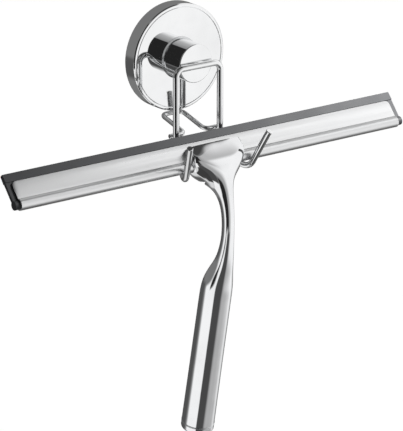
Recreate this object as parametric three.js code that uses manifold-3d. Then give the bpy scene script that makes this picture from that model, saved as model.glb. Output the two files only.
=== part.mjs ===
// Bathroom window squeegee hanging on its twist-lock suction holder.
//
// Millimetres, +Z up. The wall is the plane y = 0 and the object stands in front of it, towards -Y.
// The origin is where the axis of the round wall plate meets the wall, and x = 0 is the plane of symmetry.

import * as THREE from "three";
import { mergeVertices } from "three/addons/utils/BufferGeometryUtils.js";
import Module from "manifold-3d";

const wasm = await Module();
wasm.setup();

// ---------------------------------------------------------------- driving dimensions

const PLATE = { radius: 29, back: 1.1, front: 9.6, wall: 1.3, bevel: 0.9, edge: 0.3, bore: 8.1 };
const FACE_LINE = { radius: 26.9, width: 0.45, depth: 0.2 };
const POST = { radius: 10.4, foot: 10.15, end: 24.6, spigot: 8, spigotBack: 6.3, chamfer: 0.4, bore: 5.3, boreEnd: 16 };
const FOOT_CHAMFER = 0.2;
const WASHER = { inner: 8.2, outer: 11.6, back: 9.65, front: 10.1 };
const CLIP = { inner: 7.1, outer: 9.5, back: 7.3, front: 8.1, gapAngle: Math.PI / 3 };
const CLIP_GROOVE = { radius: 7, clearance: 0.05 };

const STROKE = 2.5; // how far a quarter turn of the post draws the cup's middle off the wall
const CUP = { radius: 27.6, lipInner: 19, edge: 0.9, slopeTop: 4.4, coreRadius: 12, lift: STROKE + 0.1 };
const CORE = { radius: 11.7, faceThickness: 1.6, hubRadius: 8.2, hubFront: 5.9 };
const STUD = { flangeRadius: 6, flangeBack: 4.1, flangeFront: 5.1, shankRadius: 2.4, end: 15.2 };
const PIN = { radius: 1, halfLength: 4.6, y: 13.2, fit: 0.05 };
const CAM = { inner: 2.8, outer: 5.1, back: 7, top: 12.05, pinReach: 0.42, stepWidth: 0.14 };
const RING = { bore: 9.8, outer: 27.2, back: 1.9, front: 8.1, floor: 1.2, rimWidth: 2.4 };
const RIB = { count: 12, width: 1.4, inner: 13, back: 4.9, overlap: 0.4 };

const WIRE = { radius: 1.7, halfWidth: 14.2, barZ: -0.8, cornerBend: 4, legEnd: 39, kneeBend: 7 };
const PRONG = { cornerX: 20, tipX: 25.6, tipZ: -34, lean: THREE.MathUtils.degToRad(26.6) };
const STANDOFF = { radius: 1.25, halfWidth: 6.5, height: 37.3, rise: 5, overhang: 2.2, wallGap: 1, bend: 3 };

const BLADE = { y: -41.3, z: -49.4, tilt: THREE.MathUtils.degToRad(41) };
const CHANNEL = { length: 244, beadRadius: 3.1, halfThickness: 1.7, sheet: 0.6, top: 12.4, cornerRadius: 2.5 };
const RUBBER = { length: 250, beadRadius: 2.4, halfWeb: 1, halfLip: 1.5, halfEdge: 1.2, lipTop: 17.2 };
const HEAD_GAP = 0.25;

const SLOT = { halfLength: 30, reach: 30, jawFoot: 2.2 };

const CLAMP = { halfWidth: 9.5, bottom: -8.6, top: 9.6, back: 4.4, seat: 0.4, chamfer: 0.8, gap: 0.3 };
const HUMP = { wall: 2, slope: 1.9 }; // the clamp plate's ridge over the channel's bead
const SCREW = { x: 5.4, s: -6.2, radius: 1.2, depth: 3.2, socket: 1.1, fit: 0.15 };
const SCREW_HEAD = { radius: 2, height: 1.3, recess: 0.1, overlap: 0.2 };

const GRIP = { endY: -26.3, endZ: -200.6, lean: THREE.MathUtils.degToRad(11.6), bore: 6.5, boreDepth: 66 };
const COLLAR = { radius: 9.15, thickness: 0.7, gap: 0.1 };
const CAP = { radius: 9, height: 3.6, round: 1.2, crown: 0.3, stemRadius: 6.2, stemWall: 1.4, stemLength: 9 };

const ROUND = 44; // facets round a turned part
const OVERCUT = 2; // how far a cutting tool reaches past the face it opens

// ---------------------------------------------------------------- materials

function metal(colour, roughness) {
  return new THREE.MeshStandardMaterial({ color: colour, roughness, metalness: 1 });
}

function plastic(colour, roughness) {
  return new THREE.MeshStandardMaterial({ color: colour, roughness, metalness: 0 });
}

const chrome = metal(0xe6e8ea, 0.06);
const satinSteel = metal(0xc9cbcd, 0.32);
const brightSteel = metal(0xd6d8da, 0.15);
const blackRubber = plastic(0x2c2d2f, 0.75);
const clearRubber = plastic(0xa9adb0, 0.5);
const whitePlastic = plastic(0xdedfdc, 0.45);

// ---------------------------------------------------------------- solids

// Keeps only positions and shared corners, and turns the faces outward.
function closed(geometry) {
  const bare = geometry.clone();
  bare.deleteAttribute("normal");
  bare.deleteAttribute("uv");
  const merged = mergeVertices(bare, 1e-4);
  const position = merged.attributes.position;
  const index = merged.index.array;
  const [a, b, c] = [new THREE.Vector3(), new THREE.Vector3(), new THREE.Vector3()];
  const kept = [];
  let volume = 0;
  for (let i = 0; i < index.length; i += 3) {
    const corners = [index[i], index[i + 1], index[i + 2]];
    if (new Set(corners).size < 3) continue;
    kept.push(...corners);
    a.fromBufferAttribute(position, corners[0]);
    b.fromBufferAttribute(position, corners[1]);
    c.fromBufferAttribute(position, corners[2]);
    volume += a.dot(b.cross(c));
  }
  if (volume < 0) {
    kept.reverse();
  }
  merged.setIndex(kept);
  return merged;
}

function toSolid(geometry) {
  const merged = closed(geometry);
  return new wasm.Manifold(
    new wasm.Mesh({
      numProp: 3,
      vertProperties: new Float32Array(merged.attributes.position.array),
      triVerts: new Uint32Array(merged.index.array),
    }),
  );
}

function toGeometry(solid) {
  const mesh = solid.getMesh();
  const geometry = new THREE.BufferGeometry();
  geometry.setAttribute("position", new THREE.BufferAttribute(new Float32Array(mesh.vertProperties), 3));
  geometry.setIndex(new THREE.BufferAttribute(new Uint32Array(mesh.triVerts), 1));
  return geometry;
}

function joined(first, ...others) {
  return toGeometry(others.reduce((sum, other) => sum.add(toSolid(other)), toSolid(first)));
}

function cut(body, ...tools) {
  return toGeometry(tools.reduce((rest, tool) => rest.subtract(toSolid(tool)), toSolid(body)));
}

// Turns a profile of [radius, depth] about the Y axis; depth is the distance in front of the wall.
function turned(profile, facets = ROUND) {
  const points = profile.map(([radius, depth]) => new THREE.Vector2(radius, -depth));
  const onAxis = profile[0][0] === 0;
  if (!onAxis) points.push(points[0].clone());
  return closed(new THREE.LatheGeometry(points, facets));
}

// A plain ring between two radii and two depths.
function ring(inner, outer, back, front) {
  return turned([
    [inner, back],
    [outer, back],
    [outer, front],
    [inner, front],
  ]);
}

// Extrudes a shape drawn in (y, z) along X, centred on x = 0.
function alongX(shape, length, curveSegments = 10) {
  const geometry = new THREE.ExtrudeGeometry(shape, { depth: length, bevelEnabled: false, curveSegments });
  geometry.translate(0, 0, -length / 2);
  const turn = new THREE.Matrix4().makeBasis(
    new THREE.Vector3(0, 1, 0),
    new THREE.Vector3(0, 0, 1),
    new THREE.Vector3(1, 0, 0),
  );
  return closed(geometry.applyMatrix4(turn));
}

function polygon(points) {
  return new THREE.Shape(points.map(([x, y]) => new THREE.Vector2(x, y)));
}

function rod(radius, from, to, facets = 20) {
  const axis = new THREE.Vector3().subVectors(to, from);
  const geometry = new THREE.CylinderGeometry(radius, radius, axis.length(), facets);
  geometry.translate(0, axis.length() / 2, 0);
  const turn = new THREE.Quaternion().setFromUnitVectors(new THREE.Vector3(0, 1, 0), axis.clone().normalize());
  geometry.applyQuaternion(turn);
  return closed(geometry.translate(from.x, from.y, from.z));
}

// ---------------------------------------------------------------- bent wire

// A wire's centre line: straight runs between corners, with a true arc at each corner.
class BentWire extends THREE.Curve {
  constructor(corners, radii) {
    super();
    this.runs = [];
    let from = corners[0].clone();
    for (let i = 1; i < corners.length - 1; i++) {
      const before = new THREE.Vector3().subVectors(corners[i], corners[i - 1]).normalize();
      const after = new THREE.Vector3().subVectors(corners[i + 1], corners[i]).normalize();
      const angle = before.angleTo(after);
      const radius = radii[i - 1];
      const trim = radius * Math.tan(angle / 2);
      const start = corners[i].clone().addScaledVector(before, -trim);
      const inward = after.clone().addScaledVector(before, -before.dot(after)).normalize();
      this.addLine(from, start);
      this.addArc(start, before, inward, radius, angle);
      from = corners[i].clone().addScaledVector(after, trim);
    }
    this.addLine(from, corners[corners.length - 1].clone());
    this.total = this.runs.reduce((sum, run) => sum + run.length, 0);
  }

  addLine(from, to) {
    const length = from.distanceTo(to);
    this.runs.push({ length, at: (distance) => from.clone().lerp(to, distance / length) });
  }

  addArc(start, heading, inward, radius, angle) {
    const at = (distance) => {
      const turn = distance / radius;
      const point = start.clone().addScaledVector(heading, radius * Math.sin(turn));
      return point.addScaledVector(inward, radius * (1 - Math.cos(turn)));
    };
    this.runs.push({ length: radius * angle, at });
  }

  getPoint(t) {
    let distance = t * this.total;
    for (const run of this.runs) {
      if (distance <= run.length) return run.at(distance);
      distance -= run.length;
    }
    const last = this.runs[this.runs.length - 1];
    return last.at(last.length);
  }
}

function wire(path, radius, sides, spacing) {
  const section = new THREE.Shape();
  section.absarc(0, 0, radius, 0, 2 * Math.PI);
  const steps = Math.round(path.total / spacing);
  const curveSegments = sides / 2;
  return closed(
    new THREE.ExtrudeGeometry(section, { extrudePath: path, steps, curveSegments, bevelEnabled: false }),
  );
}

// ---------------------------------------------------------------- wall holder

// Chromed shell: a shallow drum, open at the back, with a bevelled rim and a fine line round its face.
function housing() {
  const { radius, back, front, wall, bevel, edge, bore } = PLATE;
  return turned([
    [bore, front - wall],
    [radius - wall, front - wall],
    [radius - wall, back],
    [radius - edge, back],
    [radius, back + edge],
    [radius, front - bevel],
    [radius - edge, front - edge],
    [radius - bevel, front],
    [FACE_LINE.radius + FACE_LINE.width, front],
    [FACE_LINE.radius + FACE_LINE.width / 2, front - FACE_LINE.depth],
    [FACE_LINE.radius, front],
    [bore, front],
  ]);
}

// Ribbed plastic ring inside the shell that presses the cup's lip on the wall.
function pressureRing() {
  const { bore, outer, back, front, floor, rimWidth } = RING;
  const floorBack = front - floor;
  const body = turned([
    [bore, front],
    [outer, front],
    [outer, back],
    [outer - rimWidth, back],
    [outer - rimWidth, floorBack],
    [bore, floorBack],
  ]);
  const ribEnd = outer - rimWidth + RIB.overlap;
  const ribFront = floorBack + RIB.overlap;
  const webs = [];
  for (let i = 0; i < RIB.count; i++) {
    const web = new THREE.BoxGeometry(ribEnd - RIB.inner, ribFront - RIB.back, RIB.width);
    web.translate((ribEnd + RIB.inner) / 2, -(ribFront + RIB.back) / 2, 0);
    webs.push(web.rotateY((2 * Math.PI * i) / RIB.count));
  }
  return joined(body, ...webs);
}

// The part of the suction cup that stays on the wall: a flat lip and the slope that rises from it.
function cupSkirt() {
  const { radius, lipInner, edge, slopeTop, coreRadius, lift } = CUP;
  return turned([
    [lipInner, 0],
    [radius, 0],
    [radius, edge * 0.5],
    [radius - 0.8, edge],
    [lipInner + 3, edge + 0.5],
    [coreRadius + 1.5, slopeTop - 0.1],
    [coreRadius, slopeTop],
    [coreRadius, lift + 0.1],
  ]);
}

// The part of the suction cup that the stud draws off the wall, with the stud's flange moulded in.
function cupCore() {
  const { radius, faceThickness, hubRadius, hubFront } = CORE;
  const gap = 0.1;
  return turned([
    [0, CUP.lift],
    [radius, CUP.lift + 0.2],
    [radius, CUP.lift + faceThickness],
    [hubRadius + 0.8, CUP.lift + faceThickness + 0.2],
    [hubRadius, CUP.lift + faceThickness + 0.9],
    [hubRadius, hubFront],
    [STUD.shankRadius + gap, hubFront],
    [STUD.shankRadius + gap, STUD.flangeFront + gap],
    [STUD.flangeRadius + gap, STUD.flangeFront + gap],
    [STUD.flangeRadius + gap, STUD.flangeBack - gap],
    [0, STUD.flangeBack - gap],
  ]);
}

function drawStud() {
  const { flangeRadius, flangeBack, flangeFront, shankRadius, end } = STUD;
  const body = turned([
    [0, flangeBack],
    [flangeRadius, flangeBack],
    [flangeRadius, flangeFront],
    [shankRadius, flangeFront],
    [shankRadius, end - 0.5],
    [shankRadius - 0.5, end],
    [0, end],
  ]);
  const hole = alongPin(PIN.radius + PIN.fit, shankRadius + 1, 20);
  return cut(body, hole);
}

function alongPin(radius, halfLength, facets) {
  const right = new THREE.Vector3(halfLength, -PIN.y, 0);
  return rod(radius, right.clone().setX(-halfLength), right, facets);
}

function crossPin() {
  return alongPin(PIN.radius, PIN.halfLength, 24);
}

// How far forward the cam's two ramps stand, by the angle round the post from the pin's rest place.
function camHeight(angle) {
  const along = THREE.MathUtils.euclideanModulo(angle + CAM.pinReach + CAM.stepWidth, Math.PI) - CAM.stepWidth;
  if (along < 0) return CAM.top;
  const share = THREE.MathUtils.clamp(along / (Math.PI / 2), 0, 1);
  return CAM.top - share * STROKE;
}

// Double helical ramp pressed into the post, on which the cross pin rides.
function camRing() {
  const geometry = ring(CAM.inner, CAM.outer, CAM.back, CAM.top);
  const position = geometry.attributes.position;
  for (let i = 0; i < position.count; i++) {
    const isFront = position.getY(i) < -(CAM.back + CAM.top) / 2;
    if (isFront) position.setY(i, -camHeight(Math.atan2(position.getZ(i), position.getX(i))));
  }
  return geometry;
}

// Plain round post with a flat end, and a spigot that turns in the shell's bore.
function post() {
  const { radius, foot, end, spigot, spigotBack, chamfer, bore, boreEnd } = POST;
  return turned([
    [0, boreEnd],
    [bore, boreEnd],
    [bore, spigotBack],
    [spigot, spigotBack],
    [spigot, CLIP.back - CLIP_GROOVE.clearance],
    [CLIP_GROOVE.radius, CLIP.back - CLIP_GROOVE.clearance],
    [CLIP_GROOVE.radius, CLIP.front + CLIP_GROOVE.clearance],
    [spigot, CLIP.front + CLIP_GROOVE.clearance],
    [spigot, foot],
    [radius - FOOT_CHAMFER, foot],
    [radius, foot + FOOT_CHAMFER],
    [radius, end - chamfer],
    [radius - chamfer, end],
    [0, end],
  ]);
}

// Open spring clip that keeps the post in the shell.
function retainingClip() {
  const { inner, outer, back, front, gapAngle } = CLIP;
  const shape = new THREE.Shape();
  shape.absarc(0, 0, outer, gapAngle / 2, 2 * Math.PI - gapAngle / 2, false);
  shape.absarc(0, 0, inner, 2 * Math.PI - gapAngle / 2, gapAngle / 2, true);
  const geometry = new THREE.ExtrudeGeometry(shape, { depth: front - back, bevelEnabled: false, curveSegments: 16 });
  return closed(geometry.rotateX(Math.PI / 2).translate(0, -back, 0));
}

// ---------------------------------------------------------------- wire hanger

const wireY = -(POST.end + WIRE.radius + 0.1);

// The corner that the wire would turn at, under the blade's bead, if it had no bend there.
function hookCorner() {
  const reach = CHANNEL.beadRadius + WIRE.radius + 0.35;
  const toBead = new THREE.Vector2(wireY - BLADE.y, BLADE.z + WIRE.legEnd);
  const distance = toBead.length();
  const steepness = Math.atan2(toBead.x, -toBead.y) - Math.asin(reach / distance);
  const turn = Math.PI - steepness - PRONG.lean;
  const run = Math.sqrt(distance ** 2 - reach ** 2) + reach * Math.tan(turn / 2);
  return { y: wireY - run * Math.sin(steepness), z: -WIRE.legEnd - run * Math.cos(steepness), radius: reach };
}

function hangerWire() {
  const corner = hookCorner();
  const tipY = corner.y - (PRONG.tipZ - corner.z) * Math.tan(PRONG.lean);
  const side = (sign) => [
    new THREE.Vector3(sign * PRONG.tipX, tipY, PRONG.tipZ),
    new THREE.Vector3(sign * PRONG.cornerX, corner.y, corner.z),
    new THREE.Vector3(sign * WIRE.halfWidth, wireY, -WIRE.legEnd),
    new THREE.Vector3(sign * WIRE.halfWidth, wireY, WIRE.barZ),
  ];
  const corners = [...side(-1), ...side(1).reverse()];
  const bends = [corner.radius, WIRE.kneeBend, WIRE.cornerBend];
  return wire(new BentWire(corners, [...bends, ...bends.slice().reverse()]), WIRE.radius, 10, 2);
}

// Lighter wire welded behind the legs; its closed end stands against the wall.
function standoffWire() {
  const { radius, halfWidth, height, rise, overhang, wallGap, bend } = STANDOFF;
  const weldY = wireY + WIRE.radius + radius + 0.1;
  const farY = -(radius + wallGap);
  const side = (sign) => [
    new THREE.Vector3(sign * (WIRE.halfWidth + overhang), weldY, -height),
    new THREE.Vector3(sign * halfWidth, weldY, -height),
    new THREE.Vector3(sign * halfWidth, farY, -height + rise),
  ];
  const corners = [...side(-1), ...side(1).reverse()];
  return wire(new BentWire(corners, [bend, bend, bend, bend]), radius, 8, 1.6);
}

// ---------------------------------------------------------------- blade, in its own tilted frame
// There Y points out of the blade's back and Z from the bead towards the rubber's lip.

// A bead with a flat web standing on it, as an outline that starts and ends at the web's top.
function keyhole(beadRadius, halfWeb, top) {
  const joint = Math.asin(halfWeb / beadRadius);
  const shape = new THREE.Shape();
  shape.moveTo(halfWeb, top);
  shape.lineTo(-halfWeb, top);
  shape.absarc(0, 0, beadRadius, Math.PI / 2 + joint, Math.PI / 2 - joint + 2 * Math.PI, false);
  return shape;
}

// Folded stainless strip: two flat jaws that open into a round bead along the bottom.
function channel() {
  const { length, beadRadius, halfThickness, sheet, top, cornerRadius } = CHANNEL;
  const outside = alongX(keyhole(beadRadius, halfThickness, top), length);
  const inside = alongX(keyhole(beadRadius - sheet, halfThickness - sheet, top + 1), length + 2);
  const corners = [];
  for (const end of [-1, 1]) {
    const waste = new THREE.Shape();
    waste.moveTo(0, 0);
    waste.lineTo(0, -cornerRadius);
    waste.absarc(-cornerRadius, -cornerRadius, cornerRadius, 0, Math.PI / 2, false);
    waste.lineTo(0, 0);
    const tool = new THREE.ExtrudeGeometry(waste, { depth: 20, bevelEnabled: false, curveSegments: 8 });
    tool.translate(0.001, 0.001, -10).rotateX(Math.PI / 2);
    if (end < 0) tool.rotateZ(Math.PI);
    corners.push(tool.translate(end * (length / 2), 0, top));
  }
  return cut(outside, inside, ...corners);
}

// One rubber extrusion: bead in the channel, web between the jaws, and the lip that wipes.
function rubberBlade() {
  const { length, beadRadius, halfWeb, halfLip, halfEdge, lipTop } = RUBBER;
  const shoulder = CHANNEL.top + 0.1;
  const joint = Math.asin(halfWeb / beadRadius);
  const shape = new THREE.Shape();
  shape.moveTo(halfLip, shoulder);
  shape.lineTo(halfEdge, lipTop);
  shape.lineTo(-halfEdge, lipTop);
  shape.lineTo(-halfLip, shoulder);
  shape.lineTo(-halfWeb, shoulder);
  shape.absarc(0, 0, beadRadius, Math.PI / 2 + joint, Math.PI / 2 - joint + 2 * Math.PI, false);
  shape.lineTo(halfWeb, shoulder);
  return alongX(shape, length);
}

// Plate behind the head that holds the channel in its slot.
function clampPlate() {
  const { halfWidth, bottom, top, back, seat, chamfer } = CLAMP;
  const hump = CHANNEL.beadRadius + HUMP.wall;
  const humpTop = hump / 2;
  const humpFoot = humpTop + HUMP.slope;
  const body = alongX(
    polygon([
      [seat, bottom],
      [back - chamfer, bottom],
      [back, bottom + chamfer],
      [back, -humpFoot],
      [hump, -humpTop],
      [hump, humpTop],
      [back, humpFoot],
      [back, top - chamfer],
      [back - chamfer, top],
      [seat, top],
    ]),
    2 * halfWidth,
  );
  const slot = keyhole(CHANNEL.beadRadius + HEAD_GAP, CHANNEL.halfThickness + HEAD_GAP, top + OVERCUT);
  const holes = [-1, 1].map((sign) => screwBody(sign, SCREW.fit));
  return cut(body, alongX(slot, 2 * (halfWidth + OVERCUT)), ...holes);
}

// Shank and head of a clamp screw, grown all round by a clearance.
function screwBody(sign, clearance) {
  const { x, s, radius, depth } = SCREW;
  const { height, recess, overlap } = SCREW_HEAD;
  const shankEnd = new THREE.Vector3(sign * x, CLAMP.seat - depth - clearance, s);
  const underHead = new THREE.Vector3(sign * x, CLAMP.back - height - clearance, s);
  const headTop = new THREE.Vector3(sign * x, CLAMP.back + (clearance ? OVERCUT : -recess), s);
  const shank = rod(radius + clearance, shankEnd, underHead.clone().setY(underHead.y + overlap), 20);
  const head = rod(SCREW_HEAD.radius + clearance, underHead, headTop, 28);
  return joined(shank, head);
}

function clampScrew(sign) {
  const hexagon = new THREE.CylinderGeometry(SCREW.socket, SCREW.socket, SCREW_HEAD.height, 6);
  hexagon.translate(sign * SCREW.x, CLAMP.back, SCREW.s);
  return cut(screwBody(sign, 0), hexagon);
}

// ---------------------------------------------------------------- handle

// Stations up the casting: centre line, half width along X, depth to the front and to the back, squareness,
// and the share by which the section is narrower at its front than at its middle.
const STATIONS = [
  { y: GRIP.endY, z: GRIP.endZ, halfWidth: 9, front: 9, back: 9, corner: 2, taper: 0 },
  { y: -34, z: -163, halfWidth: 8.75, front: 8.75, back: 8.75, corner: 2, taper: 0 },
  { y: -41, z: -129, halfWidth: 8.65, front: 8.65, back: 8.65, corner: 2, taper: 0 },
  { y: -43.4, z: -118, halfWidth: 8.55, front: 8.5, back: 8.5, corner: 2, taper: 0 },
  { y: -46.3, z: -110.5, halfWidth: 7, front: 7, back: 7.1, corner: 2, taper: 0 },
  { y: -49.4, z: -103.5, halfWidth: 5.1, front: 5.1, back: 5.2, corner: 2.1, taper: 0 },
  { y: -51.6, z: -96, halfWidth: 3.9, front: 3.9, back: 3.9, corner: 2.3, taper: 0 },
  { y: -53, z: -87, halfWidth: 3.1, front: 3.3, back: 3.2, corner: 2.5, taper: 0 },
  { y: -53.2, z: -78, halfWidth: 3, front: 3.4, back: 3.3, corner: 2.5, taper: 0 },
  { y: -52.2, z: -70, halfWidth: 3.4, front: 3.7, back: 3.9, corner: 2.5, taper: 0.05 },
  { y: -50.4, z: -64, halfWidth: 4.4, front: 4.5, back: 5.4, corner: 2.6, taper: 0.15 },
  { y: -48.6, z: -59.5, halfWidth: 6.7, front: 5.2, back: 7.6, corner: 3, taper: 0.35 },
  { y: -46.8, z: -55.8, halfWidth: 10.6, front: 5.8, back: 9.2, corner: 3.8, taper: 0.4 },
  { y: -45, z: -52.4, halfWidth: 14.8, front: 6.2, back: 9.4, corner: 4.8, taper: 0.3 },
  { y: -42.4, z: -47.5, halfWidth: 17, front: 6, back: 8, corner: 6, taper: 0.03 },
  { y: -38.8, z: -41.6, halfWidth: 16.4, front: 4.4, back: 6, corner: 7, taper: 0 },
  { y: -38.2, z: -40.7, halfWidth: 16.1, front: 4, back: 6, corner: 7, taper: 0 },
];

// Bends one coordinate of a unit circle outward, so that the circle becomes a rounded rectangle.
function squared(value, power) {
  const onAxis = Math.abs(value) < 1e-6;
  return onAxis ? 0 : Math.sign(value) * Math.abs(value) ** power;
}

function handleBlank() {
  const rings = 60;
  const sides = 32;
  const spine = new THREE.CatmullRomCurve3(STATIONS.map(({ y, z }) => new THREE.Vector3(0, y, z)));
  const sizes = new THREE.CatmullRomCurve3(
    STATIONS.map(({ halfWidth, front, back }) => new THREE.Vector3(halfWidth, front, back)),
  );
  const sections = new THREE.CatmullRomCurve3(
    STATIONS.map(({ corner, taper }, i) => new THREE.Vector3(i, corner, taper)),
  );
  const geometry = new THREE.CylinderGeometry(1, 1, 1, sides, rings);
  const position = geometry.attributes.position;
  for (let i = 0; i < position.count; i++) {
    const t = THREE.MathUtils.clamp(position.getY(i) + 0.5, 0, 1);
    const centre = spine.getPoint(t);
    const tangent = spine.getTangent(t);
    const size = sizes.getPoint(t);
    const section = sections.getPoint(t);
    const power = 2 / section.y;
    const deep = squared(-position.getZ(i), power);
    const narrowing = deep < 0 ? 1 + section.z * deep : 1;
    const x = squared(position.getX(i), power) * size.x * narrowing;
    const n = deep * (deep < 0 ? size.y : size.z);
    position.setXYZ(i, x, centre.y + n * tangent.z, centre.z - n * tangent.y);
  }
  return closed(geometry);
}

const bladeFrame = new THREE.Matrix4().compose(
  new THREE.Vector3(0, BLADE.y, BLADE.z),
  new THREE.Quaternion().setFromAxisAngle(new THREE.Vector3(1, 0, 0), -BLADE.tilt),
  new THREE.Vector3(1, 1, 1),
);

const gripFrame = new THREE.Matrix4().compose(
  new THREE.Vector3(0, GRIP.endY, GRIP.endZ),
  new THREE.Quaternion().setFromAxisAngle(new THREE.Vector3(1, 0, 0), GRIP.lean),
  new THREE.Vector3(1, 1, 1),
);

// Die-cast handle: grip, neck and a head slotted for the channel, hollow from the grip's end.
function handle() {
  const slotFace = CHANNEL.halfThickness + HEAD_GAP;
  const { halfLength, reach, jawFoot } = SLOT;
  const beadBore = alongX(keyhole(CHANNEL.beadRadius + HEAD_GAP, slotFace, reach), 2 * halfLength);
  const behindJaws = alongX(
    polygon([
      [-slotFace, jawFoot],
      [reach, jawFoot],
      [reach, reach],
      [-slotFace, reach],
    ]),
    2 * halfLength,
  );
  const seatFace = CLAMP.seat - CLAMP.gap;
  const seatBottom = CLAMP.bottom - CLAMP.gap;
  const clampSeat = alongX(
    polygon([
      [seatFace, seatBottom],
      [reach, seatBottom],
      [reach, CLAMP.top + CLAMP.gap],
      [seatFace, CLAMP.top + CLAMP.gap],
    ]),
    2 * (CLAMP.halfWidth + CLAMP.gap),
  );
  const screwHoles = [-1, 1].map((sign) => screwBody(sign, SCREW.fit));
  const slots = [beadBore, behindJaws, clampSeat, ...screwHoles].map((tool) => tool.applyMatrix4(bladeFrame));
  const bore = rod(GRIP.bore, new THREE.Vector3(0, 0, -5), new THREE.Vector3(0, 0, GRIP.boreDepth));
  return cut(handleBlank(), ...slots, bore.applyMatrix4(gripFrame));
}

// Turned parts at the grip's end are drawn about Z, downward from the grip's end face.
function turnedAtGrip(profile) {
  return turned(profile, 32).rotateX(Math.PI / 2);
}

function capCollar() {
  const { radius, thickness, gap } = COLLAR;
  const edge = 0.15;
  return turnedAtGrip([
    [GRIP.bore, gap],
    [radius - edge, gap],
    [radius, gap + thickness / 2],
    [radius - edge, gap + thickness],
    [GRIP.bore, gap + thickness],
  ]);
}

function endCap() {
  const { radius, height, round, crown, stemRadius, stemWall, stemLength } = CAP;
  const top = COLLAR.thickness + 2 * COLLAR.gap;
  const bottom = top + height;
  const edge = [];
  for (let i = 0; i <= 5; i++) {
    const angle = (Math.PI / 2) * (i / 5);
    edge.push([radius - round + round * Math.cos(angle), bottom - round + round * Math.sin(angle)]);
  }
  return turnedAtGrip([
    [0, top],
    [stemRadius - stemWall, top],
    [stemRadius - stemWall, -stemLength],
    [stemRadius, -stemLength],
    [stemRadius, top],
    [radius, top],
    ...edge,
    [0, bottom + crown],
  ]);
}

// ---------------------------------------------------------------- assembly

function part(name, geometry, material) {
  const mesh = new THREE.Mesh(geometry, material);
  mesh.name = name;
  return mesh;
}

function group(frame, ...parts) {
  const holder = new THREE.Group();
  holder.applyMatrix4(frame);
  holder.add(...parts);
  return holder;
}

const squeegee = new THREE.Group();
squeegee.add(part("handle", handle(), chrome));
squeegee.add(
  group(
    bladeFrame,
    part("channel", channel(), satinSteel),
    part("rubber_blade", rubberBlade(), blackRubber),
    part("clamp_plate", clampPlate(), chrome),
    part("clamp_screw_left", clampScrew(-1), brightSteel),
    part("clamp_screw_right", clampScrew(1), brightSteel),
  ),
);
squeegee.add(group(gripFrame, part("cap_collar", capCollar(), brightSteel), part("end_cap", endCap(), chrome)));

const holder = new THREE.Group();
holder.add(
  part("housing", housing(), chrome),
  part("pressure_ring", pressureRing(), whitePlastic),
  part("cup_skirt", cupSkirt(), clearRubber),
  part("cup_core", cupCore(), clearRubber),
  part("draw_stud", drawStud(), brightSteel),
  part("cross_pin", crossPin(), brightSteel),
  part("cam_ring", camRing(), whitePlastic),
  part("post", post(), chrome),
  part("retaining_clip", retainingClip(), brightSteel),
  part("thrust_washer", ring(WASHER.inner, WASHER.outer, WASHER.back, WASHER.front), brightSteel),
  part("hanger_wire", hangerWire(), chrome),
  part("standoff_wire", standoffWire(), chrome),
);

const wallSqueegee = new THREE.Group();
wallSqueegee.add(holder, squeegee);

export default wallSqueegee;
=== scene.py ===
"""Chrome window squeegee on its suction wall holder: the visual model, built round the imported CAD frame.

Sizes are millimetres in the row frame: wall at y = 0, object towards -Y, +Z up. The camera, lights and floor
are in metres. Profiles are (radius, depth) or (across, along) pairs, and the mesh builders make them metres.
"""

import math

import bmesh
import bpy
import numpy as np
from mathutils import Matrix, Vector


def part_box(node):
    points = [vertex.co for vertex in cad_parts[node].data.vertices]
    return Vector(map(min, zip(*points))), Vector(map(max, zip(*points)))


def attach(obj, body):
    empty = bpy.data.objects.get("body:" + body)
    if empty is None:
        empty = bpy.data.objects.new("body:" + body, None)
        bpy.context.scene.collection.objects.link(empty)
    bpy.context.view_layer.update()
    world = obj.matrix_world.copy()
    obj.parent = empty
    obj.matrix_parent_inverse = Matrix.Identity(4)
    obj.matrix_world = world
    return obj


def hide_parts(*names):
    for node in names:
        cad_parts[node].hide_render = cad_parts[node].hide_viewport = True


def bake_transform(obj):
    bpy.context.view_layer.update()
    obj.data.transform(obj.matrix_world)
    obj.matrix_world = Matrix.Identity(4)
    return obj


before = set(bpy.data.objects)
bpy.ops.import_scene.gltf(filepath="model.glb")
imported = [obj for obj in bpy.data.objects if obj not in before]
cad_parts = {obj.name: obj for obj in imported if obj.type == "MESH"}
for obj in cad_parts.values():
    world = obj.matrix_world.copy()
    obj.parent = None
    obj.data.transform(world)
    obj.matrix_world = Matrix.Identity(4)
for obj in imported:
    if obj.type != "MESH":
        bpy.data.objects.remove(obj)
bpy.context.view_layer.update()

MM = 0.001


def node_size(node):
    """Lowest corner and highest corner of a CAD node, in millimetres."""
    low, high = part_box(node)
    return [v / MM for v in low], [v / MM for v in high]


# ---------------------------------------------------------------- driving dimensions

plate_low, plate_high = node_size("housing")
PLATE_RADIUS = plate_high[0]
PLATE_BACK = -plate_high[1]
PLATE_FRONT = -plate_low[1]
PLATE_WALL = 1.3
PLATE_BORE = 8.1
PLATE_BEVEL = 0.55
LINE_INSET = 2.1
LINE_WIDTH = 0.45

post_low, post_high = node_size("post")
POST_RADIUS = post_high[0]
POST_END = -post_low[1]
POST_BACK = -post_high[1]
FOOT_GAP = 0.55  # room for the washer and its play
POST_FOOT = PLATE_FRONT + FOOT_GAP
SPIGOT_RADIUS = 8.0
POST_BORE = 5.3
POST_BORE_END = 16.0

WASHER_BORE = 8.2
WASHER_CHAMFER = 1.1

CUP_MIDDLE = 12.0  # inside this radius the stud draws the cup forward,
CUP_LIP = 19.0  # and outside this one it stays on the wall
CUP_THICKNESS = 1.0
CUP_SWELL = 0.075  # how much thicker the cup gets with each millimetre inward
HUB_RADIUS = 8.3
FLANGE_RADIUS = 6.1
FLANGE_BACK, FLANGE_FRONT = 4.0, 5.2
STUD_BORE = 2.5

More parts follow.
